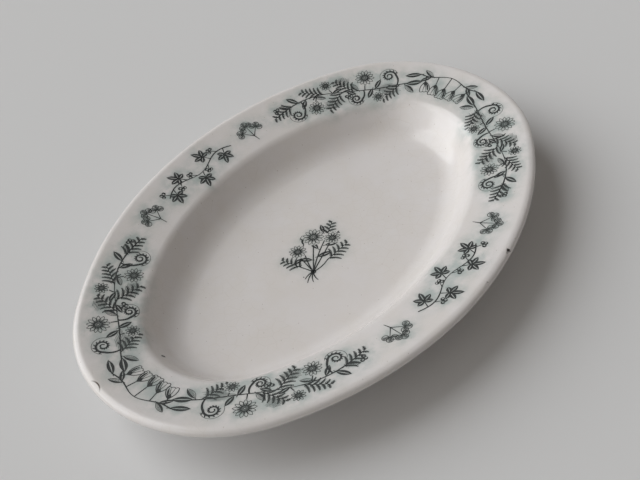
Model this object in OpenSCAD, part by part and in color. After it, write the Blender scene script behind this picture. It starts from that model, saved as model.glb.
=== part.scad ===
// Oval serving platter of glazed earthenware with transfer prints.
// It lies face up on its foot ring. The long axis is X and the origin is at the middle of the base.

/* [Plan] */
// Length over the lip
platter_l = 355; // [300:1:420]
// Radius of the two end arcs of the four-arc oval; the width over the lip follows from both
end_r = 99.5; // [90:0.5:110]

/* [Section] */
// Radius of the rolled lip
lip_r = 3.4; // [2.8:0.1:4]
// Distance from the outer edge to the inner edge of the rim
rim_w = 37; // [30:0.5:42]
// Slope of the rim towards the well
rim_slope = 12.5; // [8:0.5:16]
// Steepest slope of the wall of the well
wall_slope = 52; // [45:1:60]
// Radius where the rim turns down into the well
shoulder_r = 9; // [8:0.5:12]
// Radius where the wall runs out into the floor
cove_r = 19.6; // [14:0.2:22]
// Depth from the top of the lip to the floor of the well
well_depth = 28.2; // [26:0.2:32]
// Thickness of the clay in the floor and the wall, with its glaze
clay_t = 5.5; // [4.5:0.1:6.5]

/* [Foot ring] */
// Height of the foot ring below the underside of the floor
foot_h = 3; // [2:0.1:4]
// Width of the foot ring
foot_w = 4.8; // [4:0.1:6]
// Height of the bare band above the standing edge
bare_h = 1; // [0.6:0.1:1.6]

/* [Glaze and ink] */
// Thickness of the glaze
glaze_t = 0.4; // [0.3:0.05:0.6]
// Thickness of a print
ink_t = 0.12; // [0.1:0.02:0.2]
// Width of a printed stem
stem_w = 0.8; // [0.6:0.1:1.2]

/* [Hidden] */
$fn = 180;

// Plan: the centres of an end arc and a side arc and the middle of the oval form a triangle with
// sides of 3, 4 and 5 parts, and the arcs meet in line with its longest side
half_l = platter_l / 2;
end_x = half_l - end_r;
side_y = end_x * 4 / 3;
side_r = end_r + end_x * 5 / 3;
half_w = side_r - side_y;
joint_a = atan2(4, 3);

// Section: a point is [distance in from the outer edge, height above the table]
top_z = well_depth + clay_t + foot_h;
floor_z = clay_t + foot_h;
lip_c = [lip_r, top_z - lip_r];
lip_slope = 32;
fillet_r = 6;
fillet_c = lip_c + (lip_r + fillet_r) * up(lip_slope);
rim_start = fillet_c - fillet_r * up(rim_slope);
rim_end = [rim_w, rim_start[1] - (rim_w - rim_start[0]) * tan(rim_slope)];
shoulder_c = rim_end - shoulder_r * up(rim_slope);
wall_start = shoulder_c + shoulder_r * up(wall_slope);
wall_drop = wall_start[1] - floor_z - cove_r * (1 - cos(wall_slope));
wall_end = wall_start + wall_drop * [1 / tan(wall_slope), -1];
cove_c = wall_end + cove_r * up(wall_slope);

// The foot ring stands under the edge of the floor; its standing edge is eased on both sides
foot_in = cove_c[0] + 1.4;
foot_out = foot_in - foot_w;
foot_top = foot_h - 0.6;
foot_ease = 0.6;
foot_a = 188;
// Where a section ends: at the centre of the end arcs, past the middle of the side arcs, or short
// of both on the flat floor, for a skin that leaves the middle bare
end_core = end_r;
side_core = half_w + 5;
skin_core = foot_in + 4;

// Direction square to a surface that slopes down towards the well at angle a
function up(a) = [sin(a), cos(a)];

// Points of an arc of the section between the slopes a0 and a1, leaving out the first ones
function bow(c, r, a0, a1, n, first = 0) = [for (i = [first : n]) c + r * up(a0 + (a1 - a0) * i / n)];

// A number to the nearest micrometre, so that the swept parts meet exactly
function fine(x) = round(x * 1000) / 1000;

// Shoulder, wall, cove and floor as far in as core, moved out by g
function well(core, g) = concat(
    bow(shoulder_c, shoulder_r + g, rim_slope, wall_slope, 5),
    bow(cove_c, cove_r - g, 180 + wall_slope, 180, 7),
    [[core, floor_z + g]]);

// Upper surface from the outermost point of the lip to the floor, moved out by g
function face(core, g) = concat(
    bow(lip_c, lip_r + g, -90, lip_slope, 12),
    bow(fillet_c, fillet_r - g, 180 + lip_slope, 180 + rim_slope, 2, 1),
    well(core, g));

// Underside from the foot ring out to the lip, moved out by g
function back(g) = concat(
    [[foot_out - g, bare_h], [foot_out - g, foot_top]],
    bow(cove_c, cove_r + clay_t + g, foot_a, 180 + wall_slope, 6),
    bow(shoulder_c, shoulder_r - clay_t - g, wall_slope, rim_slope, 4),
    bow(lip_c, lip_r + g, rim_slope - 180, -105, 4));

function flipped(points) = [for (i = [len(points) - 1 : -1 : 0]) points[i]];

// Point at distance d inside the outer edge, where the edge faces the direction a
function oval_point(a, d) =
    let (w = (a + 360) % 360,
         at_end = w <= joint_a || w >= 360 - joint_a,
         at_tail = abs(w - 180) <= joint_a,
         c = at_end ? [end_x, 0] : at_tail ? [-end_x, 0] : w < 180 ? [0, -side_y] : [0, side_y],
         r = at_end || at_tail ? end_r - d : side_r - d)
    c + r * [cos(w), sin(w)];

// A section swept round one arc of the first quarter, from where the arcs meet
module swept_arc(section, r, past) {
    rotate_extrude(angle = past)
        polygon([for (p = section) [fine(r - p[0]), fine(p[1])]]);
}

// A section swept round the whole oval, as the end arcs and the side arcs need it
module swept(end_section, side_section) {
    for (flip_x = [0, 1], flip_y = [0, 1]) {
        mirror([flip_x, 0, 0])
            mirror([0, flip_y, 0])
                intersection() {
                    union() {
                        translate([end_x, 0, 0])
                            rotate([0, 0, joint_a])
                                mirror([0, 1, 0])
                                    swept_arc(end_section, end_r, 60);
                        translate([0, -side_y, 0])
                            rotate([0, 0, joint_a])
                                swept_arc(side_section, side_r, 40);
                    }
                    translate([0, 0, -1])
                        cube([half_l + 1, half_w + 1, top_z + 2]);
                }
    }
}

// Clay: rim, well and foot ring pressed in one piece, bare only where it stands
function clay_section(core) = concat(
    face(core, -glaze_t),
    [[core, foot_h + glaze_t],
     [foot_in - glaze_t, foot_h + glaze_t],
     [foot_in - glaze_t, bare_h],
     [foot_in - glaze_t - foot_ease, 0],
     [foot_out + glaze_t + foot_ease, 0]],
    back(-glaze_t));

module earthenware_body() {
    color([0.93, 0.90, 0.84])
        swept(clay_section(end_core), clay_section(side_core));
}

// Glaze of the face, the lip and the underside as far as the foot ring
function glaze_section(core) = concat(
    back(0),
    face(core, 0),
    flipped(face(core, -glaze_t)),
    flipped(back(-glaze_t)));

module face_glaze() {
    color([0.90, 0.88, 0.83])
        swept(glaze_section(end_core), glaze_section(side_core));
}

// Glaze inside the foot ring
function recess_section(core) = [
    [foot_in, bare_h],
    [foot_in, foot_h],
    [core, foot_h],
    [core, foot_h + glaze_t],
    [foot_in - glaze_t, foot_h + glaze_t],
    [foot_in - glaze_t, bare_h]];

module recess_glaze() {
    color([0.88, 0.86, 0.80])
        swept(recess_section(end_core), recess_section(side_core));
}

// Skin of ink on the rim and the wall
function ink_section() = concat(
    [rim_start + ink_t * up(rim_slope)],
    well(skin_core, ink_t),
    flipped(well(skin_core, 0)),
    [rim_start]);

// The prints on the rim are drawn along its middle line: s is the distance round from the end
// of the long axis, d the distance in from the outer edge
mid_d = 22;
joint_s = (end_r - mid_d) * joint_a * PI / 180;
quarter_s = joint_s + (side_r - mid_d) * (90 - joint_a) * PI / 180;
// Where a fern spray ends, and how far an ivy trail reaches on both sides of the middle of a side
fern_last = 132;
ivy_reach = 32;
// Where the stems of the posy are tied
tie = [-21, -11];

// Direction that the edge faces at s
function facing(s) =
    s <= joint_s ? s * 180 / PI / (end_r - mid_d)
                 : joint_a + (s - joint_s) * 180 / PI / (side_r - mid_d);

// Puts a motif at s and d, with X along the rim and Y towards the well
module on_rim(s, d, turn = 0) {
    translate(oval_point(facing(s), d))
        rotate(facing(s) + 90 + turn)
            children();
}

// Lays a drawing of the plan on the glaze of the rim and the well as a skin of ink
module laid_on_rim() {
    intersection() {
        swept(ink_section(), ink_section());
        linear_extrude(top_z)
            children();
    }
}

// Pointed leaf from the origin along X
module leaf(l, w) {
    r = (l * l + w * w) / (4 * w);
    intersection() {
        translate([l / 2, r - w / 2])
            circle(r, $fn = 72);
        translate([l / 2, w / 2 - r])
            circle(r, $fn = 72);
    }
}

// Straight stalk from the origin along X
module stalk(l) {
    translate([0, -stem_w / 2])
        square([l, stem_w]);
}

// Main stem that runs along the rim from s0 to s1 and swings about the line d by sway
module stem(s0, s1, d, sway, waves) {
    steps = 28;
    line = [for (i = [0 : steps]) [s0 + (s1 - s0) * i / steps, d + sway * sin(360 * waves * i / steps)]];
    polygon(concat(
        [for (p = line) oval_point(facing(p[0]), p[1] - stem_w / 2)],
        flipped([for (p = line) oval_point(facing(p[0]), p[1] + stem_w / 2)])));
}

// Fern frond: leaflets left and right in turn, that grow shorter towards the tip
module frond(l, leaflets) {
    stalk(l);
    for (i = [1 : leaflets]) {
        side = i % 2 == 0 ? 1 : -1;
        translate([l * i / (leaflets + 1), -side * 0.1])
            rotate(side * 58)
                leaf(l * 0.36 * (1 - 0.7 * i / leaflets) + 1.6, 1.9);
    }
}

// Young frond on a stalk, rolled up like a crook; hand is 1 or -1 for the side it rolls to
module crozier(l, r, hand) {
    steps = 24;
    coil = [for (i = [0 : steps]) r * exp(-1.5 * i / steps)];
    half = [for (i = [0 : steps]) 0.7 - 0.35 * i / steps];
    way = [for (i = [0 : steps]) let (a = -90 + 590 * i / steps) [cos(a), sin(a)]];
    mirror([0, hand < 0 ? 1 : 0]) {
        stalk(l + 0.3);
        translate([l, r])
            polygon(concat(
                [for (i = [0 : steps]) (coil[i] + half[i]) * way[i]],
                flipped([for (i = [0 : steps]) (coil[i] - half[i]) * way[i]])));
    }
}

// Daisy with narrow petals round a disc
module daisy(r, petals) {
    circle(r * 0.3, $fn = 48);
    for (i = [1 : petals]) {
        rotate(360 * i / petals)
            translate([r * 0.22, 0])
                leaf(r * 0.76, r * 0.25);
    }
}

// Ivy leaf with five lobes on its stalk
module ivy_leaf(r) {
    stalk(r);
    translate([r * 0.8, 0]) {
        for (lobe = [-110, -55, 0, 55, 110]) {
            rotate(lobe)
                leaf(r * (1.15 - abs(lobe) / 260), r * 0.5);
        }
    }
}

// Three berries at the end of a stalk
module berries(l) {
    stalk(l);
    for (i = [-1, 0, 1]) {
        translate([l + (i == 0 ? 1.3 : -0.2), i * 1.6])
            circle(1.4, $fn = 36);
    }
}

// Bell that hangs at the end of its stalk
module bell(l) {
    stalk(l);
    for (i = [-1, 0, 1]) {
        translate([l - 1.6 + abs(i) * 0.5, 0])
            rotate(i * 21)
                leaf(9, 3.2);
    }
}

// Clover leaf with three round leaflets
module clover_leaf(l) {
    stalk(l);
    for (i = [-1, 0, 1]) {
        translate([l, 0])
            rotate(i * 75)
                translate([2.7, 0])
                    circle(2.2, $fn = 48);
    }
}

// Spray of fronds, croziers and daisies on a swaying stem, laid over the first quarter of the rim
module fern_spray() {
    stem(28, fern_last, mid_d + 1, 4.5, 1);
    for (f = [[35, 25, 52, 18], [70, 26, -48, 19], [79, 23, 44, 20], [92, 20, -30, 18], [116, 19, 16, 19]]) {
        on_rim(f[0], f[1], f[2])
            frond(f[3], 10);
    }
    for (c = [[37, 25, -80, 9, 5.2, 1], [63, 27, 72, 8, 4.4, -1], [110, 19, 80, 11, 5, -1]]) {
        on_rim(c[0], c[1], c[2])
            crozier(c[3], c[4], c[5]);
    }
    for (f = [[30, 24, 192, 12], [31, 25, 138, 10], [54, 27, 236, 9], [67, 26, -62, 9], [56, 27, 62, 9],
              [86, 22, 196, 8], [99, 20, 150, 8], [106, 19, 52, 9], [112, 19, -52, 10], [119, 20, -34, 8],
              [76, 24, 140, 8]]) {
        on_rim(f[0], f[1], f[2])
            leaf(f[3], 0.42 * f[3]);
    }
    for (f = [[62, 27, -100, 6], [50, 27, 76, 5], [98, 20, 62, 6], [86, 21, -70, 5]]) {
        on_rim(f[0], f[1], f[2])
            stalk(f[3]);
    }
    on_rim(125, 21, -40)
        berries(5);
    on_rim(75, 25, 80)
        berries(4);
    for (f = [[60, 15.5, 7.2, 13], [102, 29.5, 6.2, 12], [52, 35, 4.6, 10], [88, 13, 4.6, 10]]) {
        on_rim(f[0], f[1])
            daisy(f[2], f[3]);
    }
}

// Trail of ivy leaves and berries at the middle of a long side
module ivy_trail() {
    first = quarter_s - ivy_reach;
    stem(first, quarter_s + ivy_reach, mid_d + 1, -3, 1.5);
    for (i = [0 : 4]) {
        side = i % 2 == 0 ? 1 : -1;
        leaf_at = 6 + 12.5 * i;
        berries_at = leaf_at + 5;
        on_rim(first + leaf_at, mid_d + 1 - 3 * sin(270 * leaf_at / ivy_reach), side * 62)
            ivy_leaf(7.4);
        on_rim(first + berries_at, mid_d + 1 - 3 * sin(270 * berries_at / ivy_reach), -side * 50)
            berries(5);
    }
}

// Sprig of bellflowers at an end, hanging towards the well
module bellflower_sprig() {
    stem(-22, 22, mid_d - 8, 1.6, 1.5);
    for (i = [-2 : 2]) {
        on_rim(8.6 * i, mid_d - 9.5 + 1.6 * abs(i), 90 + 6 * i)
            bell(6 + 2.6 * (2 - abs(i)));
    }
    for (side = [-1, 1]) {
        on_rim(side * 21, mid_d - 7.7, 90 - side * 75)
            leaf(12, 4.4);
        on_rim(side * 12.5, mid_d - 6.8, -90 + side * 58)
            leaf(9, 3.4);
        on_rim(side * 13.5, mid_d - 6.8, 90 - side * 52)
            leaf(9, 3.4);
    }
}

// Small sprig of clover between two sprays
module clover_sprig() {
    middle_s = (fern_last + quarter_s - ivy_reach) / 2 + 2;
    for (i = [-1, 0, 1]) {
        on_rim(middle_s, mid_d + 5, -90 + 42 * i)
            clover_leaf(8 + 2 * (1 - abs(i)));
    }
    on_rim(middle_s, mid_d + 5, 100)
        stalk(5);
}

// Stem of the posy, that leaves the tie in a direction and ends in a motif
module bunch(way, l) {
    translate(tie)
        rotate(way) {
            stalk(l);
            translate([l, 0])
                children();
        }
}

// Loose bunch of daisies and ferns, tied at its lower left
module posy() {
    translate(tie)
        circle(1.6, $fn = 36);
    bunch(96, 8)
        frond(17, 9);
    bunch(-6, 13)
        frond(20, 10);
    bunch(22, 32)
        frond(15, 8);
    bunch(52, 27)
        crozier(3, 4.2, -1);
    for (f = [[70, 20], [38, 30], [14, 30], [196, 10], [218, 9], [240, 8], [176, 8]])
        bunch(f[0], f[1]);
    for (f = [[-13, -4, 118, 9], [-9, -5, -32, 10], [-3, -1, 74, 9], [2, -3, -42, 9], [9, -6, 20, 9],
              [-15, 2, 160, 8], [11, 5, 52, 8]]) {
        translate([f[0], f[1]])
            rotate(f[2])
                leaf(f[3], 0.42 * f[3]);
    }
    for (f = [[-12, 9, 6, 12], [4, 8.5, 7.6, 13], [10, -3, 5.6, 11]]) {
        translate([f[0], f[1]])
            daisy(f[2], f[3]);
    }
}

// A motif of the first quarter, carried to the quarter q by mirroring
module in_quarter(q) {
    mirror([q == 2 || q == 3 ? 1 : 0, 0])
        mirror([0, q > 2 ? 1 : 0])
            children();
}

ink_colour = [0.17, 0.20, 0.19];

module fern_print(q) {
    color(ink_colour)
        laid_on_rim()
            in_quarter(q)
                fern_spray();
}

module ivy_print(turn) {
    color(ink_colour)
        laid_on_rim()
            rotate(turn)
                ivy_trail();
}

module bellflower_print(turn) {
    color(ink_colour)
        laid_on_rim()
            rotate(turn)
                bellflower_sprig();
}

module clover_print(q) {
    color(ink_colour)
        laid_on_rim()
            in_quarter(q)
                clover_sprig();
}

// Posy at the middle of the floor
module centre_print() {
    color(ink_colour)
        translate([0, 0, floor_z])
            linear_extrude(ink_t)
                posy();
}

earthenware_body();
face_glaze();
recess_glaze();
centre_print();
fern_print(1);  // fern_print_1
fern_print(2);  // fern_print_2
fern_print(3);  // fern_print_3
fern_print(4);  // fern_print_4
ivy_print(0);  // ivy_print_1
ivy_print(180);  // ivy_print_2
bellflower_print(0);  // bellflower_print_1
bellflower_print(180);  // bellflower_print_2
clover_print(1);  // clover_print_1
clover_print(2);  // clover_print_2
clover_print(3);  // clover_print_3
clover_print(4);  // clover_print_4
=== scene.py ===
"""Oval serving platter of cream-glazed earthenware with transfer prints, face up on its foot ring."""

import math

import bpy
import numpy as np
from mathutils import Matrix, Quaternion, Vector


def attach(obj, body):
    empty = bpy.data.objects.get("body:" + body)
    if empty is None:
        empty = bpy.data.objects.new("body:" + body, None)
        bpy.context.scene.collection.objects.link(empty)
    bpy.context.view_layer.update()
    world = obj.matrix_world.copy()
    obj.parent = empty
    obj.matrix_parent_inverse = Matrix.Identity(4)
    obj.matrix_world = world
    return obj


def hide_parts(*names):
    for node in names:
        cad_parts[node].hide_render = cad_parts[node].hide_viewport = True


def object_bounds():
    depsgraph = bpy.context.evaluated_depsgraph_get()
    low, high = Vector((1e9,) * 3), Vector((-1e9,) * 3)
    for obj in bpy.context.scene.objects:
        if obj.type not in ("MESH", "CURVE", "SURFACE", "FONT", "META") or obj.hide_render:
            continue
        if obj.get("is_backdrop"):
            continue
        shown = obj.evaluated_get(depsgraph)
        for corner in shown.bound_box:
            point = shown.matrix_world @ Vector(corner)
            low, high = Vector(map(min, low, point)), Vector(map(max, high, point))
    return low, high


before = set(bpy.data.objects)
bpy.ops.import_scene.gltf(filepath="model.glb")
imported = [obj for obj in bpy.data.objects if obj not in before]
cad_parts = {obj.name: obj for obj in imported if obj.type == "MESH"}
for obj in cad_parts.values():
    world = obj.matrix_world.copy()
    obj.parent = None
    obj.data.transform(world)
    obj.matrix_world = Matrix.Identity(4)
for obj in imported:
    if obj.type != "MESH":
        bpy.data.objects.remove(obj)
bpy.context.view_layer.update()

# Clay body. White earthenware pressed over a mould in one piece: a broad sloping rim, a deep flat
# well and a low foot ring. Once glazed, the clay is bare only on the edge that it stands on.
# Lengths are in millimetres. A point of the section is (distance in from the edge, height).
MM = 0.001

# Plan: one arc round each end and one along each side. Their centres lie 3 and 4 parts from the
# middle of the platter and 5 parts from each other, so that the arcs join smoothly.
platter_l = 355.0
end_r = 99.5
end_x = platter_l / 2 - end_r
side_y = end_x * 4 / 3
side_r = end_r + end_x * 5 / 3
half_w = side_r - side_y
joint_cos = 3 / 5
joint_sin = 4 / 5
joint_way = math.degrees(math.atan2(4, 3))

# Section, from the lip to the foot ring. Slopes are in degrees, down towards the well.
edge_r = 2.8
under_r = 3.1
crown_r = 6.5
crown_slope = -17
rim_w = 37.0
rim_slope = 12.5
rim_foot_h = 20.28
shoulder_r = 9.0
wall_slope = 52
cove_r = 19.6
clay_t = 5.5
glaze_t = 0.4
foot_h = 3.0
foot_w = 4.8
foot_inset = 1.4
foot_fillet = 0.9
foot_fillet_z = 2.4
foot_ease = 0.6
bare_h = 1.0
glaze_end_z = bare_h + 0.3
foot_join_slope = 190
floor_z = clay_t + foot_h
rim_foot_z = floor_z + rim_foot_h


def up(slope):
    """Direction square to a surface that slopes down towards the well at that angle."""
    return np.array([math.sin(math.radians(slope)), math.cos(math.radians(slope))])


# The lip is a broad crown that tightens to the edge, with a roll of its own underneath.
crown_d = edge_r - (crown_r - edge_r) * up(crown_slope)[0]
rim_start = crown_d + crown_r * up(rim_slope)[0]
rim_start_z = rim_foot_z + (rim_w - rim_start) * math.tan(math.radians(rim_slope))
crown_c = np.array([rim_start, rim_start_z]) - crown_r * up(rim_slope)
edge_c = crown_c + (crown_r - edge_r) * up(crown_slope)
under_c = np.array([under_r, edge_c[1]])

# The wall is straight between the shoulder and the cove, and the cove ends level with the floor.
shoulder_c = np.array([rim_w, rim_foot_z]) - shoulder_r * up(rim_slope)
wall_start = shoulder_c + shoulder_r * up(wall_slope)
wall_drop = wall_start[1] - floor_z - cove_r * (1 - math.cos(math.radians(wall_slope)))
wall_end = wall_start + wall_drop * np.array([1 / math.tan(math.radians(wall_slope)), -1])
cove_c = wall_end + cove_r * up(wall_slope)
foot_in = cove_c[0] + foot_inset
foot_out = foot_in - foot_w

# Further in than this, the rings of a mesh no longer keep their distance but shrink to the middle.
core_d = foot_in + 4


def bow(centre, radius, slope_from, slope_to, steps):
    """Arc of the section between two slopes."""
    slopes = np.linspace(slope_from, slope_to, steps + 1)
    return np.array([np.array(centre) + radius * up(slope) for slope in slopes])


def flow(gap, *parts):
    """One line through the parts, with points added so that none are further apart than gap."""
    line = []
    for point in np.vstack(parts).astype(float):
        if line:
            last = line[-1]
            reach = np.hypot(*(point - last))
            if reach < 0.001:
                continue
            steps = math.ceil(reach / gap)
            line += [last + (point - last) * i / steps for i in range(1, steps)]
        line.append(point)
    return np.array(line)


def face(out, gap, steps):
    """Upper surface from the middle of the floor to the side of the lip, moved out by out."""
    return flow(
        gap,
        [[half_w, floor_z + out]],
        bow(cove_c, cove_r - out, 180, 180 + wall_slope, 2 * steps),
        bow(shoulder_c, shoulder_r + out, wall_slope, rim_slope, 2 * steps),
        bow(crown_c, crown_r + out, rim_slope, crown_slope, steps),
        bow(edge_c, edge_r + out, crown_slope, -90, 2 * steps))


def back(out, gap, steps):
    """Underside from the side of the lip to the outer side of the foot ring, moved out by out."""
    return flow(
        gap,
        bow(under_c, under_r + out, -90, rim_slope - 180, 2 * steps),
        bow(shoulder_c, shoulder_r - clay_t - out, rim_slope, wall_slope, 5),
        bow(cove_c, cove_r + clay_t + out, 180 + wall_slope, foot_join_slope, steps + 4),
        bow([foot_out - out - foot_fillet, foot_fillet_z - out], foot_fillet, 0, 90, 5),
        [[foot_out - out, glaze_end_z]])


def recess(out, gap):
    """Underside from the inner side of the foot ring to the middle of the floor, moved out by out."""
    corner = [foot_in + foot_fillet, foot_h - foot_fillet]
    return flow(
        gap,
        [[foot_in + out, glaze_end_z]],
        bow(corner, foot_fillet - out, -90, 0, 6),
        [[half_w, foot_h - out]])


def oval(way, d):
    """Point of the plan at distance d inside the edge, where the edge faces the direction way."""
    cos, sin = np.cos(np.radians(way)), np.sin(np.radians(way))
    at_end = np.abs(cos) >= joint_cos
    radius = np.where(at_end, end_r, side_r) - np.minimum(d, core_d)
    x = np.where(at_end, np.sign(cos) * end_x, 0) + radius * cos
    y = np.where(at_end, 0, -np.sign(sin) * side_y) + radius * sin
    shrink = np.clip((half_w - d) / (half_w - core_d), 0, 1)
    return x * shrink, y * shrink


# Chips off the lip: where the edge faces, the slope on the roll, length, width and depth.
chips = [(278.3, -38, 1.9, 1.25, 0.9), (271.2, -34, 0.8, 0.5, 0.35)]

# Directions that the edge faces, one for each column of a mesh, closer together at the chips.
end_columns = 88
side_columns = 136
chip_columns = 15
ways = np.concatenate([
    np.linspace(-joint_way, joint_way, end_columns, endpoint=False),
    np.linspace(joint_way, 180 - joint_way, side_columns, endpoint=False),
    np.linspace(180 - joint_way, 180 + joint_way, end_columns, endpoint=False),
    np.linspace(180 + joint_way, 360 - joint_way, side_columns, endpoint=False)])
for chip_way, _, chip_l, _, _ in chips:
    plan_r = side_r if 180 + joint_way < chip_way else end_r
    margin = math.degrees(1.4 * chip_l / plan_r)
    ways = ways[np.abs(ways - chip_way) > margin]
    ways = np.sort(np.append(ways, chip_way + margin * np.linspace(-1, 1, chip_columns)))


def settle(x, y, z):
    """How far drying and firing have moved the clay: a slight twist and soft ripples, none at the foot."""
    twist = 0.45 * (x / 177) * (y / 125) - 0.2 * np.cos(x / 60)
    ripple = 0.09 * np.sin(x / 12 + 0.8 * np.sin(y / 21)) * np.sin(y / 10 + 0.7)
    swell = 0.12 * np.sin(x / 27 + y / 41 + 1.3)
    return np.clip((z - foot_h) / 12, 0, 1) * (twist + ripple + swell)


def chip_off(x, y, z, depth):
    """Moves the points in where a chip has come off the lip, and says how dark each is painted there: dirt
    in the chip, and painted shade on one side of it.
    """
    dirt_and_shade = np.zeros_like(x)
    for way, slope, long, wide, deep in chips:
        out = up(slope)
        at = edge_c + edge_r * out
        at_x, at_y = oval(way, at[0])
        cos, sin = math.cos(math.radians(way)), math.sin(math.radians(way))
        along = (y - at_y) * cos - (x - at_x) * sin
        inward = -(x - at_x) * cos - (y - at_y) * sin
        proud = inward * out[0] + (z - at[1]) * out[1]
        across = inward * out[1] - (z - at[1]) * out[0]
        ragged = 1 + 0.45 * np.sin(3 * np.arctan2(across, along) + way)
        spread = (along / long) ** 2 + (across / wide) ** 2
        bite = np.clip(1 - spread * ragged, 0, 1) ** 0.6 * (np.abs(proud) < 2)
        shift = np.clip(deep * bite - depth, 0, None)
        x += shift * out[0] * cos
        y += shift * out[0] * sin
        z -= shift * out[1]
        # Each chip is painted darker towards one side: dirt, with painted shade on the side of the dent
        # away from the light.
        dirt_and_side_shade = np.clip(0.55 + 1.3 * along / long + 0.7 * across / wide, 0.1, 1) * min(1, 1.2 * deep)
        dirt_and_shade = np.maximum(dirt_and_shade, np.clip(6 * bite, 0, 1) * dirt_and_side_shade)
    return dirt_and_shade


def mark(mesh, name, values):
    """Keeps a number for each point of the mesh, for a material to read."""
    mesh.attributes.new(name, "FLOAT", "POINT").data.foreach_set("value", values.astype(np.float32))


def new_piece(name, points, faces):
    """A smooth piece in the scene, from its points in millimetres and its faces."""
    mesh = bpy.data.meshes.new(name)
    mesh.from_pydata((points * MM).tolist(), [], faces)
    mesh.shade_smooth()
    piece = bpy.data.objects.new(name, mesh)
    bpy.context.scene.collection.objects.link(piece)
    return piece


def pressed(name, line, depth):
    """A closed piece with its section swept round the oval; depth says how far below the glaze it lies."""
    d, z = line[1:-1, :1], line[1:-1, 1:]
    x, y = oval(ways, d)
    x, y, z = np.array([x, y, z + np.zeros_like(x)])
    chipped = chip_off(x, y, z, np.broadcast_to(depth, len(line))[1:-1, None])
    z = z + settle(x, y, z)
    ends = [[0, 0, line[i, 1] + settle(0, 0, line[i, 1])] for i in (0, -1)]
    points = np.vstack([np.stack([x, y, z], -1).reshape(-1, 3), ends])
    here = np.arange(x.size).reshape(x.shape)
    right = np.roll(here, -1, 1)
    quads = np.stack([here[:-1], here[1:], right[1:], right[:-1]], -1).reshape(-1, 4)
    top = [(x.size, a, b) for a, b in zip(here[0].tolist(), right[0].tolist())]
    under = [(a, x.size + 1, b) for a, b in zip(here[-1].tolist(), right[-1].tolist())]
    piece = new_piece(name, points, quads.tolist() + top + under)
    mark(piece.data, "chipped", np.append(chipped.ravel(), [0, 0]))
    return piece


def add(tree, kind, values=None, **settings):
    """Adds a shader node; values are numbers or other nodes' outputs for its inputs."""
    made = tree.nodes.new("ShaderNode" + kind)
    for key, value in settings.items():
        setattr(made, key, value)
    for key, value in (values or {}).items():
        if isinstance(value, bpy.types.NodeSocket):
            tree.links.new(value, made.inputs[key])
        else:
            made.inputs[key].default_value = value
    return made


def effect(name, inputs, outputs):
    """An empty node group with named inputs and outputs, and its two end nodes."""
    group = bpy.data.node_groups.new(name, "ShaderNodeTree")
    for key, value in inputs.items():
        group.interface.new_socket(key, in_out="INPUT", socket_type="NodeSocketFloat").default_value = value
    for key in outputs:
        group.interface.new_socket(key, in_out="OUTPUT", socket_type="NodeSocketFloat")
    return group, group.nodes.new("NodeGroupInput").outputs, group.nodes.new("NodeGroupOutput").inputs


def use(tree, group, **values):
    """Places an effect in a material with its own values, lengths in metres."""
    made = tree.nodes.new("ShaderNodeGroup")
    made.node_tree = group
    for key, value in values.items():
        made.inputs[key.replace("_", " ")].default_value = value
    return made.outputs


def blend(tree, share, under, over):
    """Colour over laid on colour under by a share."""
    return add(tree, "Mix", {0: share, 6: under, 7: over}, data_type="RGBA", clamp_factor=True).outputs[2]


def times(tree, a, b):
    """One value multiplied by another."""
    return add(tree, "Math", {0: a, 1: b}, operation="MULTIPLY").outputs[0]


def new_material(name):
    """An empty material with its Principled shader joined to the output."""
    material = bpy.data.materials.new(name)
    material.use_nodes = True
    tree = material.node_tree
    tree.nodes.clear()
    shader = add(tree, "BsdfPrincipled")
    tree.links.new(shader.outputs[0], add(tree, "OutputMaterial").inputs["Surface"])
    return material, tree, shader


# Clouds: soft patches of a given size in metres, from 0 to 1, with firm or gentle edges.
clouds, given, result = effect("clouds", {"Size": 0.02, "Softness": 0.3, "Detail": 4.0}, ["Mask"])
place = add(clouds, "TexCoord").outputs["Object"]
scale = add(clouds, "Math", {0: 1.0, 1: given["Size"]}, operation="DIVIDE").outputs[0]
noise = add(
    clouds, "TexNoise", {"Vector": place, "Scale": scale, "Detail": given["Detail"], "Roughness": 0.55})
low = add(clouds, "Math", {0: 0.5, 1: given["Softness"]}, operation="SUBTRACT").outputs[0]
high = add(clouds, "Math", {0: 0.5, 1: given["Softness"]}, operation="ADD").outputs[0]
spread = add(clouds, "MapRange", {0: noise.outputs[0], 1: low, 2: high}, interpolation_type="SMOOTHSTEP")
clouds.links.new(spread.outputs[0], result["Mask"])

# Specks: round spots a given distance apart, of which only a share shows; Spot is their radius.
# They are left off steep surfaces.
specks, given, result = effect("specks", {"Apart": 0.001, "Spot": 0.0002, "Share": 0.1}, ["Mask"])
place = add(specks, "TexCoord").outputs["Object"]
lying = add(specks, "SeparateXYZ", {0: add(specks, "TexCoord").outputs["Normal"]}).outputs[2]
lying = add(specks, "Math", {0: lying}, operation="ABSOLUTE").outputs[0]
lying = add(specks, "MapRange", {0: lying, 1: 0.5, 2: 0.65}).outputs[0]
scale = add(specks, "Math", {0: 1.0, 1: given["Apart"]}, operation="DIVIDE").outputs[0]
cells = add(specks, "TexVoronoi", {"Vector": place, "Scale": scale}, voronoi_dimensions="2D")
edge = add(specks, "Math", {0: given["Spot"], 1: scale}, operation="MULTIPLY").outputs[0]
inside = add(specks, "Math", {0: edge, 1: 0.5}, operation="MULTIPLY").outputs[0]
spot = add(specks, "MapRange", {0: cells.outputs["Distance"], 1: inside, 2: edge, 3: 1.0, 4: 0.0})
luck = add(specks, "SeparateColor", {0: cells.outputs["Color"]}).outputs[0]
shown = add(specks, "Math", {0: luck, 1: given["Share"]}, operation="LESS_THAN").outputs[0]
specks.links.new(times(specks, times(specks, spot.outputs[0], shown), lying), result["Mask"])

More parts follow.
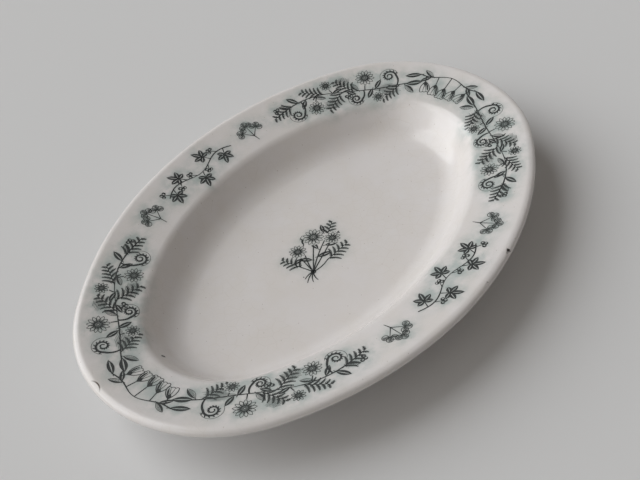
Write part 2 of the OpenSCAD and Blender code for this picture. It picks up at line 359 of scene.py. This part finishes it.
clay_buff = (0.62, 0.53, 0.42, 1)
clay_stain = (0.36, 0.27, 0.19, 1)
clay_grit = (0.16, 0.11, 0.07, 1)
fired_clay, tree, shader = new_material("fired_clay")
stained = use(tree, clouds, Size=0.012, Softness=0.22)["Mask"]
grit = use(tree, specks, Apart=0.0011, Spot=0.0003, Share=0.25)["Mask"]
grain = use(tree, clouds, Size=0.0006, Softness=0.4)["Mask"]
colour = blend(tree, stained, clay_buff, clay_stain)
colour = blend(tree, times(tree, grit, 0.6), colour, clay_grit)
tree.links.new(colour, shader.inputs["Base Color"])
shader.inputs["Roughness"].default_value = 0.85
bump = add(tree, "Bump", {"Height": grain, "Strength": 0.5, "Distance": 0.0002})
tree.links.new(bump.outputs[0], shader.inputs["Normal"])

# Most of the clay is hidden under the glaze, so its points are far apart. A chip cuts into it only
# once it is through the glaze.
hidden_gap = 12
hidden_steps = 3
clay_depth = 0.9 * glaze_t
stand_out = [foot_out + glaze_t + foot_ease, foot_ease]
stand_in = [foot_in - glaze_t - foot_ease, foot_ease]
clay_face = face(-glaze_t, hidden_gap, hidden_steps)
clay_back = back(-glaze_t, hidden_gap, hidden_steps)
clay_recess = recess(-glaze_t, hidden_gap)
clay_body = pressed("clay_body", np.vstack([
    clay_face,
    clay_back[1:],
    bow(stand_out, foot_ease, -90, -180, 5),
    bow(stand_in, foot_ease, 180, 90, 5),
    clay_recess]), clay_depth)
clay_body.data.materials.append(fired_clay)
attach(clay_body, "root")
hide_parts("earthenware_body")

# Posy transfer in the middle of the well. The engraving is printed in ceramic ink on tissue, cut out
# and rubbed down on the fired clay before glazing, so its lines lie flat in the surface.
posy_reach = 32
rng = np.random.default_rng(11)

# Ink stands line_t over the glaze. A line cut wider prints darker, from pale_w to dark_w, and one
# over broad_w also has points down its middle.
line_t = 0.06
finest_w = 0.07
pale_w = 0.1
dark_w = 0.6
broad_w = 0.7

# The surface of the glaze, with points close together where ink lies. On the bare floor between
# the cove and the posy every fourth point is enough.
glaze_line = face(0, gap=1.7, steps=7)
bare_floor = (glaze_line[:, 0] > cove_c[0] + 2) & (glaze_line[:, 0] < half_w - posy_reach)
glaze_line = glaze_line[~bare_floor | (np.arange(len(glaze_line)) % 4 == 0)]


def glaze_height(x, y):
    """Height of the glaze over a point of the plan, and the slope of the section there."""
    px, py = np.abs(x), np.abs(y)
    at_end = joint_sin * (px - end_x) - joint_cos * py >= 0
    d = np.where(at_end, end_r - np.hypot(px - end_x, py), side_r - np.hypot(px, py + side_y))
    known_d, known_z = glaze_line[::-1, 0], glaze_line[::-1, 1]
    z = np.interp(d, known_d, known_z)
    slope = np.arctan(np.abs(np.interp(d + 0.5, known_d, known_z) - np.interp(d - 0.5, known_d, known_z)))
    return z + settle(x, y, z), slope


def pen(start, end, wide=(0.4, 0.25), bend=0.0, belly=0.0):
    """Engraved line that bows aside by bend, runs from one width to the other and swells by belly."""
    start, end = np.array(start, float), np.array(end, float)
    reach = np.hypot(*(end - start))
    t = np.linspace(0, 1, max(3, math.ceil(reach / 0.9) + 1))[:, None]
    side = np.array([start[1] - end[1], end[0] - start[0]]) / reach
    hump = 4 * t * (1 - t)
    width = wide[0] + (wide[1] - wide[0]) * t + belly * hump
    return np.hstack([start + (end - start) * t + side * bend * hump, width])


def ring(centre, radius, wide, start=0, sweep=360):
    """Round engraved line, or part of one."""
    steps = max(5, math.ceil(abs(sweep) / 360 * max(12, 9 * radius)))
    t = np.radians(start + sweep * np.linspace(0, 1, steps + 1))
    return np.column_stack([
        centre[0] + radius * np.cos(t), centre[1] + radius * np.sin(t), np.full_like(t, wide)])


def dot(centre, size):
    """Round spot of ink."""
    x, y = centre
    return pen((x - size / 2, y), (x + size / 2, y), (0.3 * size, 0.3 * size), belly=0.7 * size)


def put(strokes, at=(0, 0), turn=0.0):
    """The same strokes turned and moved to a place."""
    cos, sin = math.cos(math.radians(turn)), math.sin(math.radians(turn))
    return [np.column_stack([
        at[0] + cos * s[:, 0] - sin * s[:, 1], at[1] + sin * s[:, 0] + cos * s[:, 1], s[:, 2]])
        for s in strokes]


def clear(strokes, at, radius):
    """The strokes without what lies inside a circle, for a flower in front of them."""
    kept = []
    for stroke in strokes:
        outside = np.hypot(stroke[:, 0] - at[0], stroke[:, 1] - at[1]) > radius
        cuts = np.flatnonzero(np.diff(outside)) + 1
        kept += [run for run in np.split(stroke, cuts) if len(run) > 1
                 and np.hypot(run[0, 0] - at[0], run[0, 1] - at[1]) > radius]
    return kept


def leaf(length, width, light=False):
    """Pointed leaf along X: inked dark on both sides of its midrib, or only veined on one."""
    half = width / 2
    hair = (0.14, 0.14)
    strokes = [
        pen((-0.16 * length, 0), (0.1 * length, 0), (0.5, 0.4)),
        pen((0, 0), (length, 0), hair, bend=0.54 * half, belly=0.76 * half)]
    if not light:
        strokes.append(pen((0, 0), (0.96 * length, 0), hair, bend=-0.54 * half, belly=0.7 * half))
        return strokes
    strokes.append(pen((0, 0), (length, 0), (0.36, 0.3), bend=-half))
    for x in np.arange(0.16 * length, 0.86 * length, 0.9):
        reach = half * 4 * (x / length) * (1 - x / length)
        strokes.append(pen((x, 0), (x + 0.7 * reach, -0.85 * reach), (0.34, 0.2)))
    return strokes


def frond(length, leaflets):
    """Fern frond whose leaflets are cut into small teeth and shorten towards the tip."""
    strokes = [pen((0, 0), (length, 0), (0.8, 0.35))]
    for i in range(1, leaflets + 1):
        side = 1 if i % 2 == 0 else -1
        long = length * 0.36 * (1 - 0.7 * i / leaflets) + 1.6
        bend = -side * 0.1 * long
        leaflet = [pen((0, 0), (long, 0), (0.75, 0.3), bend=bend)]
        for x in np.arange(0.7, long - 0.3, 0.85):
            reach = 0.5 + 0.75 * (1 - (x / long) ** 2)
            y = bend * 4 * (x / long) * (1 - x / long)
            for way in (-1, 1):
                tip = (x + 0.65 * reach, y + way * 0.8 * reach)
                leaflet.append(pen((x, y), tip, (0.5, 0.3), belly=0.14))
        strokes += put(leaflet, (length * i / (leaflets + 1), 0), side * 58)
    return strokes


def daisy(radius, petals):
    """Daisy with pale outlined petals, dark between them, round a stippled disc."""
    strokes = [ring((0, 0), 0.27 * radius, 0.45), ring((0, 0), 0.1 * radius, 0.5)]
    for i in range(petals):
        root, tip = 0.3 * radius, radius * (1 - 0.08 * rng.random())
        half = 0.15 * radius
        petal = [
            pen((root, 0), (tip, 0), (0.4, 0.36), bend=half),
            pen((root, 0), (tip, 0), (0.4, 0.36), bend=-half),
            pen((root, 0), (0.64 * tip, 0), (0.4, 0.15))]
        strokes += put(petal, turn=360 * i / petals)
        gap = pen((0.29 * radius, 0), (0.72 * radius, 0), (0.5, 0.2), belly=0.07 * radius)
        strokes += put([gap, dot((0.19 * radius, 0), 0.09 * radius)], turn=360 * (i + 0.5) / petals)
    return strokes


def berries(length):
    """Three berries at the end of a stalk, each with a light left on its side."""
    strokes = [pen((0, 0), (length, 0), (0.6, 0.45))]
    for i in (-1, 0, 1):
        at = (length + (1.3 if i == 0 else -0.2), 1.6 * i)
        strokes += [ring(at, 1.15, 0.5), ring(at, 0.62, 0.75, 150, 210)]
    return strokes


def crozier(reach, radius, hand):
    """Young frond on a stalk along X, rolled up like a crook, with scales along its back."""
    t = np.linspace(0, 1, 44)
    angle = np.radians(-90 + 590 * t)
    coil = radius * np.exp(-1.5 * t)
    roll = np.column_stack([
        reach + coil * np.cos(angle), radius + coil * np.sin(angle), 1.5 - 0.8 * t])
    stalk = pen((0, 0), (reach, 0), (1.0, 1.5), bend=-0.12 * reach)
    strokes = [stalk, roll, ring((reach, radius), radius + 1.5, 0.3, -78, 190)]
    for k in range(1, 30, 2):
        along = roll[k + 1, :2] - roll[k, :2]
        along /= np.hypot(*along)
        out = np.array([along[1], -along[0]])
        root = roll[k, :2] + 0.3 * out
        long = 2.3 - 0.055 * k
        tip = root + 0.8 * long * out + 0.6 * long * along
        strokes.append(pen(root, tip, (0.7, 0.25), belly=0.3))
    return [s * [1, hand, 1] for s in strokes]


def shade(length, width):
    """Patch of ruled lines, the engraver's grey."""
    pitch = 0.8
    fine = 0.12
    ruled_w = 0.3
    strokes = []
    for v in np.arange(-width / 2 + pitch / 2, width / 2, pitch):
        reach = length / 2 * math.sqrt(1 - (2 * v / width) ** 2)
        left, right = -reach * rng.uniform(0.6, 1), reach * rng.uniform(0.6, 1)
        if right - left > 1:
            strokes.append(pen((left, v), (right, v), (fine, fine), bend=0.3, belly=ruled_w - fine))
    return strokes


ink_thin = (0.034, 0.042, 0.037, 1)
ink_thin_worn = (0.100, 0.119, 0.109, 1)
ink_deep = (0.004, 0.006, 0.005, 1)
ink_deep_worn = (0.020, 0.026, 0.023, 1)
transfer_ink, tree, shader = new_material("transfer_ink")
patchy = use(tree, clouds, Size=0.009, Softness=0.25)["Mask"]
deep = add(tree, "Attribute", attribute_name="inked").outputs["Fac"]
thin_colour = blend(tree, patchy, ink_thin, ink_thin_worn)
deep_colour = blend(tree, patchy, ink_deep, ink_deep_worn)
tree.links.new(blend(tree, deep, thin_colour, deep_colour), shader.inputs["Base Color"])
shader.inputs["Roughness"].default_value = 0.17
shader.inputs["IOR"].default_value = 1.5

# Ink laid on each square millimetre of the plan, which tells later how the glaze is tinted.
plan_corner = np.array([200, 150])
ink_laid = np.zeros(2 * plan_corner)


def transfer(name, node, strokes):
    """Lays the strokes on the glaze as thin ribbons of ink, one closed ribbon each, half sunk in it."""
    points, faces, depths = [], [], []
    first = 0
    for stroke in strokes:
        xy, wide = stroke[:, :2], np.maximum(stroke[:, 2], finest_w)
        along = np.gradient(xy, axis=0)
        along /= np.linalg.norm(along, axis=1)[:, None]
        side = np.column_stack([-along[:, 1], along[:, 0]]) * wide[:, None] / 2
        across = [xy + side, xy, xy - side] if wide.max() > broad_w else [xy + side, xy - side]
        rows = []
        for edge in across:
            z, slope = glaze_height(edge[:, 0], edge[:, 1])
            rows.append(np.column_stack([edge, z + line_t / np.cos(slope)]))
        for edge in (across[-1], across[0]):
            z, _ = glaze_height(edge[:, 0], edge[:, 1])
            rows.append(np.column_stack([edge, z - line_t]))
        rows = np.stack(rows, 1)
        count, sides = rows.shape[:2]
        points.append(rows.reshape(-1, 3))
        depths.append(np.repeat(np.clip((wide - pale_w) / (dark_w - pale_w), 0, 1), sides))
        here = first + np.arange(count * sides).reshape(count, sides)
        right = np.roll(here, -1, 1)
        faces += np.stack([here[:-1], right[:-1], right[1:], here[1:]], -1).reshape(-1, 4).tolist()
        faces += [here[0, ::-1].tolist(), here[-1].tolist()]
        first += count * sides
        long = np.hypot(*np.diff(xy, axis=0).T)
        column = np.round(xy[1:] + plan_corner).astype(int)
        np.add.at(ink_laid, (column[:, 0], column[:, 1]), long * stroke[1:, 2])
    piece = new_piece(name, np.vstack(points), faces)
    piece.data.set_sharp_from_angle(angle=math.radians(45))
    mark(piece.data, "inked", np.concatenate(depths))
    piece.data.materials.append(transfer_ink)
    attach(piece, "root")
    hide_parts(node)


# A loose bunch tied below and left of the middle: its stems fan out to daisies, a crozier and fronds.
tie = (-21, -11)


def bunch(strokes, way, reach, bend=0.0):
    """A stem that leaves the tie in the direction way, with a drawing at its end."""
    return put([pen((0, 0), (reach, 0), (0.9, 0.7), bend=bend)] + put(strokes, (reach, 0)), tie, way)


posy = bunch(frond(17, 9), 96, 8) + bunch(frond(20, 10), -6, 13, -1) + bunch(frond(15, 8), 22, 32, 1)
posy += bunch(crozier(3, 4.2, -1), 52, 27, 1.5) + bunch([], 70, 20) + bunch([], 38, 30) + bunch([], 14, 30)
for at, way, length in (
        ((-13, -4), 118, 9), ((-9, -5), -32, 10), ((-3, -1), 74, 9), ((2, -3), -42, 9),
        ((9, -6), 20, 9), ((-15, 2), 160, 8), ((11, 5), 52, 8)):
    posy += put(leaf(length, 0.42 * length), at, way)
for way, length in ((196, 10), (218, 9), (240, 8), (176, 8)):
    posy += put([pen((0, 0), (length, 0), (1.0, 0.5), bend=-0.8)], tie, way)
posy += put([ring((0, 0), 1.3, 1.1)], tie)
for at, radius, petals in (((-12, 9), 6.0, 12), ((4, 8.5), 7.6, 13), ((10, -3), 5.6, 11)):
    posy = clear(posy, at, 0.97 * radius)
    posy += put(daisy(radius, petals), at)

# A small spot of ink has strayed beside the bunch.
posy.append(dot((-28, -8.5), 0.9))
transfer("posy_transfer", "centre_print", posy)

# Fern transfers on the four quarters of the rim, of the same ink, rubbed down in the same way. One
# engraving of fern fronds, croziers and daisies on a swaying stem serves for two quarters, and its
# mirror image for the other two.
fern_first = 28
fern_last = 132

# The middle of the rim lies mid_d in from the edge. Distances round the rim are measured there, from
# the end of the long axis, past the joint between the two arcs, to the middle of the long side.
mid_d = 22
joint_s = (end_r - mid_d) * math.radians(joint_way)
quarter_s = joint_s + (side_r - mid_d) * math.radians(90 - joint_way)


def facing(s):
    """Direction that the edge faces at distance s round the middle of the rim."""
    if abs(s) <= joint_s:
        return math.degrees(s / (end_r - mid_d))
    return joint_way + math.degrees((s - joint_s) / (side_r - mid_d))


def rim_point(s, d):
    """Point of the plan at distance s round the rim and d in from the edge."""
    return np.array(oval(facing(s), d))


def on_rim(strokes, s, d, turn=0.0):
    """Strokes put on the rim, with X along it and Y towards the well."""
    return put(strokes, rim_point(s, d), facing(s) + 90 + turn)


def stem(s0, s1, d, sway, waves):
    """Main stem that swings about a line round the rim, a little wider and narrower by turns."""
    wide = 0.9
    t = np.linspace(0, 1, math.ceil((s1 - s0) / 1.1))
    line = [rim_point(s0 + (s1 - s0) * k, d + sway * math.sin(2 * math.pi * waves * k)) for k in t]
    return np.column_stack([np.array(line), wide * (0.8 + 0.2 * np.sin(9 * t))])


def in_quarter(q, strokes):
    """A drawing of the first quarter carried to quarter q by mirroring."""
    return [s * [-1 if q in (2, 3) else 1, -1 if q > 2 else 1, 1] for s in strokes]


# Each drawing's place is its distance round the rim, its distance in from the edge and its turn.
fern = [stem(fern_first, fern_last, mid_d + 1, 4.5, 1)]
for s, d, way, length in (
        (35, 25, 52, 18), (70, 26, -48, 19), (79, 23, 44, 20), (92, 20, -30, 18), (116, 19, 16, 19)):
    fern += on_rim(frond(length, 10), s, d, way)
for s, d, way, reach, radius, hand in (
        (37, 25, -80, 9, 5.2, 1), (63, 27, 72, 8, 4.4, -1), (110, 19, 80, 11, 5.0, -1)):
    fern += on_rim(crozier(reach, radius, hand), s, d, way)
for s, d, way, length, light in (
        (30, 24, 192, 12, 0), (31, 25, 138, 10, 1), (54, 27, 236, 9, 0), (67, 26, -62, 9, 1),
        (56, 27, 62, 9, 0), (86, 22, 196, 8, 0), (99, 20, 150, 8, 1), (106, 19, 52, 9, 0),
        (112, 19, -52, 10, 0), (119, 20, -34, 8, 1), (76, 24, 140, 8, 0)):
    fern += on_rim(leaf(length, 0.42 * length, light), s, d, way)
for s, d, way, reach in ((62, 27, -100, 6), (50, 27, 76, 5), (98, 20, 62, 6), (86, 21, -70, 5)):
    fern += on_rim([pen((0, 0), (reach, 0), (0.8, 0.6))], s, d, way)
fern += on_rim(shade(22, 11), 44, 29) + on_rim(shade(18, 9), 90, 31) + on_rim(shade(14, 8), 76, 14)
fern += on_rim(berries(5), 125, 21, -40) + on_rim(berries(4), 75, 25, 80)
for s, d, radius, petals in (
        (60, 15.5, 7.2, 13), (102, 29.5, 6.2, 12), (52, 35, 4.6, 10), (88, 13, 4.6, 10)):
    fern = clear(fern, rim_point(s, d), 0.97 * radius)
    fern += on_rim(daisy(radius, petals), s, d)
for q in (1, 2, 3, 4):
    transfer(f"fern_transfer_{q}", f"fern_print_{q}", in_quarter(q, fern))

# Ivy transfers at the middle of the two long sides: a trail of lobed leaves and berries. The same
# ink on tissue, cut out close round the leaves and rubbed down between the ferns.
ivy_reach = 32
ivy_pitch = 12.5


def ivy_leaf(size):
    """Ivy leaf with five lobes on its stalk."""
    strokes = [pen((0, 0), (size, 0), (0.7, 0.5))]
    for lobe in (-110, -55, 0, 55, 110):
        strokes += put(leaf(size * (1.15 - abs(lobe) / 260), 0.5 * size), (0.8 * size, 0), lobe)
    return strokes


def ivy_stem_d(along):
    """How far in from the edge the trail lies at a distance along it."""
    return mid_d + 1 - 3 * math.sin(math.radians(270 * along / ivy_reach))


ivy_first = quarter_s - ivy_reach
ivy = [stem(ivy_first, quarter_s + ivy_reach, mid_d + 1, -3, 1.5)]
for i in range(5):
    side = 1 if i % 2 == 0 else -1
    leaf_at = 6 + ivy_pitch * i
    berries_at = leaf_at + 5
    ivy += on_rim(ivy_leaf(7.4), ivy_first + leaf_at, ivy_stem_d(leaf_at), side * 62)
    ivy += on_rim(berries(5), ivy_first + berries_at, ivy_stem_d(berries_at), -side * 50)
for q, turn in ((1, 0), (2, 180)):
    transfer(f"ivy_transfer_{q}", f"ivy_print_{q}", put(ivy, turn=turn))

# Bellflower transfers at the two ends of the rim: five bells that hang towards the well. The same
# ink on tissue, cut out and rubbed down like the rest.
bell_pitch = 8.6


def bell(stalk):
    """Bell-shaped flower at the end of its stalk, ribbed, with a turned-out mouth."""
    mouth = stalk + 7.5
    strokes = [
        pen((0, 0), (stalk, 0), (0.7, 0.6)),
        pen((stalk - 1.6, 0), (stalk + 2.4, 0), (0.5, 0.4), belly=2.2),
        pen((stalk, 0.5), (mouth - 0.3, 2.2), (0.3, 0.3), bend=0.5, belly=0.9)]
    for side in (-1, 1):
        strokes.append(pen((stalk - 1.2, 0), (mouth, side * 3.5), (0.6, 0.5), bend=side * 1.2))
        strokes.append(pen((stalk + 1.6, 0), (mouth - 0.6, side * 1.1), (0.5, 0.3), bend=side * 0.2))
    for y in (-2.4, 0, 2.4):
        strokes.append(ring((mouth - 0.4, y), 1.25, 0.45, -75, 150))
    return strokes


bellflower = [stem(-22, 22, mid_d - 8, 1.6, 1.5)]
for i in range(-2, 3):
    stalk = 6 + 2.6 * (2 - abs(i))
    bellflower += on_rim(bell(stalk), bell_pitch * i, mid_d - 9.5 + 1.6 * abs(i), 90 + 6 * i)
for side in (-1, 1):
    bellflower += on_rim(leaf(12, 4.4), side * 21, mid_d - 7.7, 90 - side * 75)
    bellflower += on_rim(leaf(9, 3.4, True), side * 12.5, mid_d - 6.8, -90 + side * 58)
    bellflower += on_rim(leaf(9, 3.4), side * 13.5, mid_d - 6.8, 90 - side * 52)

# From the second transfer a spot of ink has strayed onto the wall of the well.
stray = dot((-129.3, 16.3), 2.0)
for q, turn, extra in ((1, 0, []), (2, 180, [stray])):
    transfer(f"bellflower_transfer_{q}", f"bellflower_print_{q}", put(bellflower, turn=turn) + extra)

# Clover transfers between the large ones: small sprigs in the same ink, cut singly from the sheet
# and rubbed down last to fill the gaps.
clover_s = (fern_last + quarter_s - ivy_reach) / 2 + 2


def clover_leaf(length):
    """Clover leaf with three round leaflets."""
    strokes = [pen((0, 0), (length, 0), (0.65, 0.45))]
    for i in (-1, 0, 1):
        leaflet = [ring((2.7, 0), 2.1, 0.45), pen((0, 0), (4.4, 0), (0.4, 0.3))]
        for x in np.arange(0.9, 4.2, 0.7):
            leaflet.append(pen((x, 0), (x + 0.6, 1.4), (0.5, 0.36)))
            leaflet.append(pen((x, 0), (x + 0.6, -1.1), (0.3, 0.2)))
        strokes += put(leaflet, (length, 0), 75 * i)
    return strokes


clover = on_rim([pen((0, 0), (5, 0), (0.7, 0.4))], clover_s, mid_d + 5, 100)
for i in (-1, 0, 1):
    clover += on_rim(clover_leaf(8 + 2 * (1 - abs(i))), clover_s, mid_d + 5, -90 + 42 * i)
for q in (1, 2, 3, 4):
    transfer(f"clover_transfer_{q}", f"clover_print_{q}", in_quarter(q, clover))

# Glaze of the face, lip and underside. A cream lead glaze, dipped on over the prints and fired to a
# soft gloss. It has crazed finely with age, and the ink has bled a little blue-green into it.
cream_thin = (0.762, 0.728, 0.712, 1)
cream_thick = (0.790, 0.762, 0.752, 1)
ivory = (0.715, 0.665, 0.600, 1)
wash_tint = (0.36, 0.44, 0.425, 1)
bleed_tint = (0.30, 0.37, 0.35, 1)
craze_stain = (0.42, 0.34, 0.25, 1)
iron_brown = (0.26, 0.18, 0.12, 1)
crack_dirt = (0.10, 0.075, 0.055, 1)
# Nearly black colour of the chips: dirt in the broken glaze, and painted shade.
chip_dirt_and_shade = (0.042, 0.036, 0.031, 1)

# Crazing: a net of fine cracks, the edges of cells of a given size in metres.
crazing, given, result = effect("crazing", {"Size": 0.008, "Width": 0.02}, ["Lines"])
place = add(crazing, "TexCoord").outputs["Object"]
scale = add(crazing, "Math", {0: 1.0, 1: given["Size"]}, operation="DIVIDE").outputs[0]
drift = add(crazing, "TexNoise", {"Vector": place, "Scale": 90.0, "Detail": 2.0})
bent = add(crazing, "Mix", {0: 0.004, 4: place, 5: drift.outputs["Color"]}, data_type="VECTOR").outputs[1]
cracks = add(
    crazing, "TexVoronoi", {"Vector": bent, "Scale": scale},
    feature="DISTANCE_TO_EDGE", voronoi_dimensions="2D")
line = add(crazing, "MapRange", {0: cracks.outputs["Distance"], 1: 0.0, 2: given["Width"], 3: 1.0, 4: 0.0})
crazing.links.new(line.outputs[0], result["Lines"])

# Hairline: a thin curved crack round a point of the piece, as far as it reaches from a second point.
hairline, given, result = effect(
    "hairline", {"Round X": 0.0, "Round Y": 0.0, "Round Z": 0.0, "Radius": 0.01, "Width": 0.0003,
                 "From X": 0.0, "From Y": 0.0, "From Z": 0.0, "Reach": 0.004}, ["Line"])
place = add(hairline, "TexCoord").outputs["Object"]
gaps = []
for start in ("Round", "From"):
    point = add(hairline, "CombineXYZ", {axis: given[f"{start} {axis}"] for axis in "XYZ"}).outputs[0]
    gaps.append(add(hairline, "VectorMath", {0: place, 1: point}, operation="DISTANCE").outputs["Value"])
off = add(hairline, "Math", {0: gaps[0], 1: given["Radius"]}, operation="SUBTRACT").outputs[0]
off = add(hairline, "Math", {0: off}, operation="ABSOLUTE").outputs[0]
thin = add(hairline, "MapRange", {0: off, 1: 0.0, 2: given["Width"], 3: 1.0, 4: 0.0}).outputs[0]
near = add(hairline, "MapRange", {0: gaps[1], 1: 0.0, 2: given["Reach"], 3: 2.5, 4: 0.0}).outputs[0]
hairline.links.new(times(hairline, thin, near), result["Line"])


def glaze_material(name, pooled):
    """Cream glaze; pooled is how much thicker and warmer it lies."""
    material, tree, shader = new_material(name)
    milky = use(tree, clouds, Size=0.055, Softness=0.3)["Mask"]
    warm = use(tree, clouds, Size=0.018, Softness=0.2, Detail=6.0)["Mask"]
    lines = use(tree, crazing, Size=0.007, Width=0.03)["Lines"]
    aged = use(tree, clouds, Size=0.035, Softness=0.12)["Mask"]
    iron = use(tree, specks, Apart=0.013, Spot=0.00032, Share=0.5)["Mask"]
    pits = use(tree, specks, Apart=0.006, Spot=0.00022, Share=0.4)["Mask"]
    peel = use(tree, clouds, Size=0.0035, Softness=0.5, Detail=2.0)["Mask"]
    scuffed = use(tree, clouds, Size=0.028, Softness=0.2, Detail=8.0)["Mask"]
    uneven = use(tree, clouds, Size=0.009, Softness=0.22, Detail=5.0)["Mask"]
    bled = add(tree, "Attribute", attribute_name="ink_bleed").outputs["Fac"]
    washed = add(tree, "Attribute", attribute_name="ink_wash").outputs["Fac"]
    chipped = add(tree, "Attribute", attribute_name="chipped").outputs["Fac"]
    crack = use(
        tree, hairline, Round_X=-0.1786, Round_Y=0.0253, Round_Z=0.0359, Radius=0.0082, Width=0.0006,
        From_X=-0.1708, From_Y=0.0231, From_Z=0.0359, Reach=0.0058)["Line"]
    colour = blend(tree, milky, cream_thin, cream_thick)
    colour = blend(tree, times(tree, warm, 0.3 + pooled), colour, ivory)
    colour = blend(tree, times(tree, washed, uneven), colour, wash_tint)
    colour = blend(tree, bled, colour, bleed_tint)
    colour = blend(tree, times(tree, times(tree, lines, aged), 0.13), colour, craze_stain)
    colour = blend(tree, times(tree, iron, 0.6), colour, iron_brown)
    colour = blend(tree, times(tree, crack, 0.95), colour, crack_dirt)
    # The chips are painted dark: dirt, and painted shade on one side of each.
    colour = blend(tree, chipped, colour, chip_dirt_and_shade)
    tree.links.new(colour, shader.inputs["Base Color"])
    rough = add(tree, "MapRange", {0: scuffed, 3: 0.16, 4: 0.24})
    rough = add(tree, "Mix", {0: chipped, 2: rough.outputs[0], 3: 0.9}).outputs[0]
    tree.links.new(rough, shader.inputs["Roughness"])
    shader.inputs["IOR"].default_value = 1.5
    height = add(tree, "Math", {0: pits, 1: -0.6, 2: peel}, operation="MULTIPLY_ADD").outputs[0]
    height = add(tree, "Math", {0: lines, 1: -0.12, 2: height}, operation="MULTIPLY_ADD").outputs[0]
    bump = add(tree, "Bump", {"Height": height, "Strength": 0.25, "Distance": 0.00012})
    tree.links.new(bump.outputs[0], shader.inputs["Normal"])
    return material


# The coat ends in a thin edge at the foot ring and turns back along the clay.
glaze_outer = np.vstack([
    glaze_line,
    back(0, gap=8, steps=4)[1:],
    [[foot_out + 0.06, bare_h + 0.08], [foot_out + 0.2, bare_h]]])
glaze_inner = np.vstack([clay_back[::-1], clay_face[-2::-1]])
glaze_coat = pressed(
    "glaze_coat",
    np.vstack([glaze_outer, glaze_inner]),
    [0.0] * len(glaze_outer) + [clay_depth] * len(glaze_inner))


def spread_ink(width):
    """Ink laid on the plan, smeared over a width."""
    reach = np.arange(-3 * width, 3 * width + 1)
    soften = np.exp(-reach ** 2 / (2 * width ** 2))
    soften /= soften.sum()
    smeared = ink_laid
    for axis in (0, 1):
        smeared = np.apply_along_axis(lambda row: np.convolve(row, soften, "same"), axis, smeared)
    return smeared


# The ink tints the glaze strongly beside its lines and faintly far round them, least on the floor.
spots = np.array([v.co for v in glaze_coat.data.vertices]) / MM
cell = np.round(spots[:, :2] + plan_corner).astype(int)
on_face = (spots[:, 2] > floor_z - 0.2) & (np.arange(len(spots)) < len(glaze_line) * len(ways))
bled = np.clip(0.7 * spread_ink(1)[cell[:, 0], cell[:, 1]], 0, 0.35)
washed = np.clip(3.6 * spread_ink(6)[cell[:, 0], cell[:, 1]] - 0.12, 0, 0.75)
mark(glaze_coat.data, "ink_bleed", bled * on_face)
mark(glaze_coat.data, "ink_wash", washed * on_face * np.where(spots[:, 2] > floor_z + 8, 1, 0.35))
glaze_coat.data.materials.append(glaze_material("cream_glaze", 0.0))
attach(glaze_coat, "root")
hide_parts("face_glaze")

# Glaze inside the foot ring. The same cream glaze, which pools there while the platter drains after
# its dip, and is wiped off the standing edge before the firing.
glaze_pool = pressed("glaze_pool", np.vstack([
    clay_recess[::-1],
    [[foot_in - 0.2, bare_h], [foot_in - 0.06, bare_h + 0.08]],
    recess(0, gap=5)]), clay_depth)
glaze_pool.data.materials.append(glaze_material("pooled_glaze", 0.3))
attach(glaze_pool, "root")
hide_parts("recess_glaze")

# Studio: a plain pale floor, a broad soft light from the far left like a window, a weaker one beside
# it, and a little light from the room.
floor_reach = 20000
floor_corners = floor_reach * np.array([(-1, -1, 0), (1, -1, 0), (1, 1, 0), (-1, 1, 0)])
studio_floor = new_piece("studio_floor", floor_corners, [(0, 1, 2, 3)])
paper, tree, shader = new_material("studio_paper")
shader.inputs["Base Color"].default_value = (0.74, 0.74, 0.74, 1)
shader.inputs["Roughness"].default_value = 0.9
studio_floor.data.materials.append(paper)
studio_floor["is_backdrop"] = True


def lamp(name, azimuth, elevation, breadth, strength, colour):
    """Far lamp, as broad as the angle breadth makes it."""
    light = bpy.data.lights.new(name, "SUN")
    light.angle = math.radians(breadth)
    light.energy = strength
    light.color = colour
    holder = bpy.data.objects.new(name, light)
    a, e = math.radians(azimuth), math.radians(elevation)
    back_way = Vector((math.cos(a) * math.cos(e), math.sin(a) * math.cos(e), math.sin(e)))
    holder.location = back_way * 2
    holder.rotation_mode = "QUATERNION"
    holder.rotation_quaternion = back_way.to_track_quat("Z", "Y")
    bpy.context.scene.collection.objects.link(holder)


lamp("window_lamp", azimuth=108, elevation=38, breadth=60, strength=2.2, colour=(0.97, 0.985, 1.0))
lamp("side_lamp", azimuth=162, elevation=22, breadth=60, strength=0.77, colour=(1.0, 1.0, 0.99))
lamp("room_lamp", azimuth=-70, elevation=65, breadth=70, strength=0.18, colour=(1.0, 0.93, 0.86))

# The air lights the platter, and the backdrop is what the camera and the gloss see in its place.
world = bpy.data.worlds.new("studio_air")
bpy.context.scene.world = world
world.use_nodes = True
tree = world.node_tree
tree.nodes.clear()
air = add(tree, "Background", {"Color": (1.0, 0.90, 0.80, 1), "Strength": 0.085})
backdrop = add(tree, "Background", {"Color": (0.68, 0.69, 0.70, 1), "Strength": 1.0})
rays = add(tree, "LightPath").outputs
seen = rays["Is Camera Ray"]
for kind in ("Is Glossy Ray", "Is Transmission Ray"):
    seen = add(tree, "Math", {0: seen, 1: rays[kind]}, operation="MAXIMUM").outputs[0]
both = add(tree, "MixShader", {0: seen, 1: air.outputs[0], 2: backdrop.outputs[0]})
tree.links.new(both.outputs[0], add(tree, "OutputWorld").inputs["Surface"])

# Camera: above the near left of the platter, turned so that the long axis rises to the right.
# Places are in millimetres, and the roll in degrees.
camera_at = Vector((-331.96, -334.87, 465.43))
camera_aim = Vector((4.10, 2.88, 8.5))
camera_roll = -11.15
camera = bpy.data.objects.new("camera", bpy.data.cameras.new("camera"))
bpy.context.scene.collection.objects.link(camera)
bpy.context.scene.camera = camera
camera.data.sensor_width = 36
camera.data.lens = 56.25
camera.location = camera_at * MM
looking = camera_aim * MM - camera.location
turned = looking.to_track_quat("-Z", "Y")
camera.rotation_mode = "QUATERNION"
camera.rotation_quaternion = turned @ Quaternion((0, 0, 1), math.radians(camera_roll))

bpy.context.scene.view_settings.view_transform = "Standard"
low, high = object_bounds()
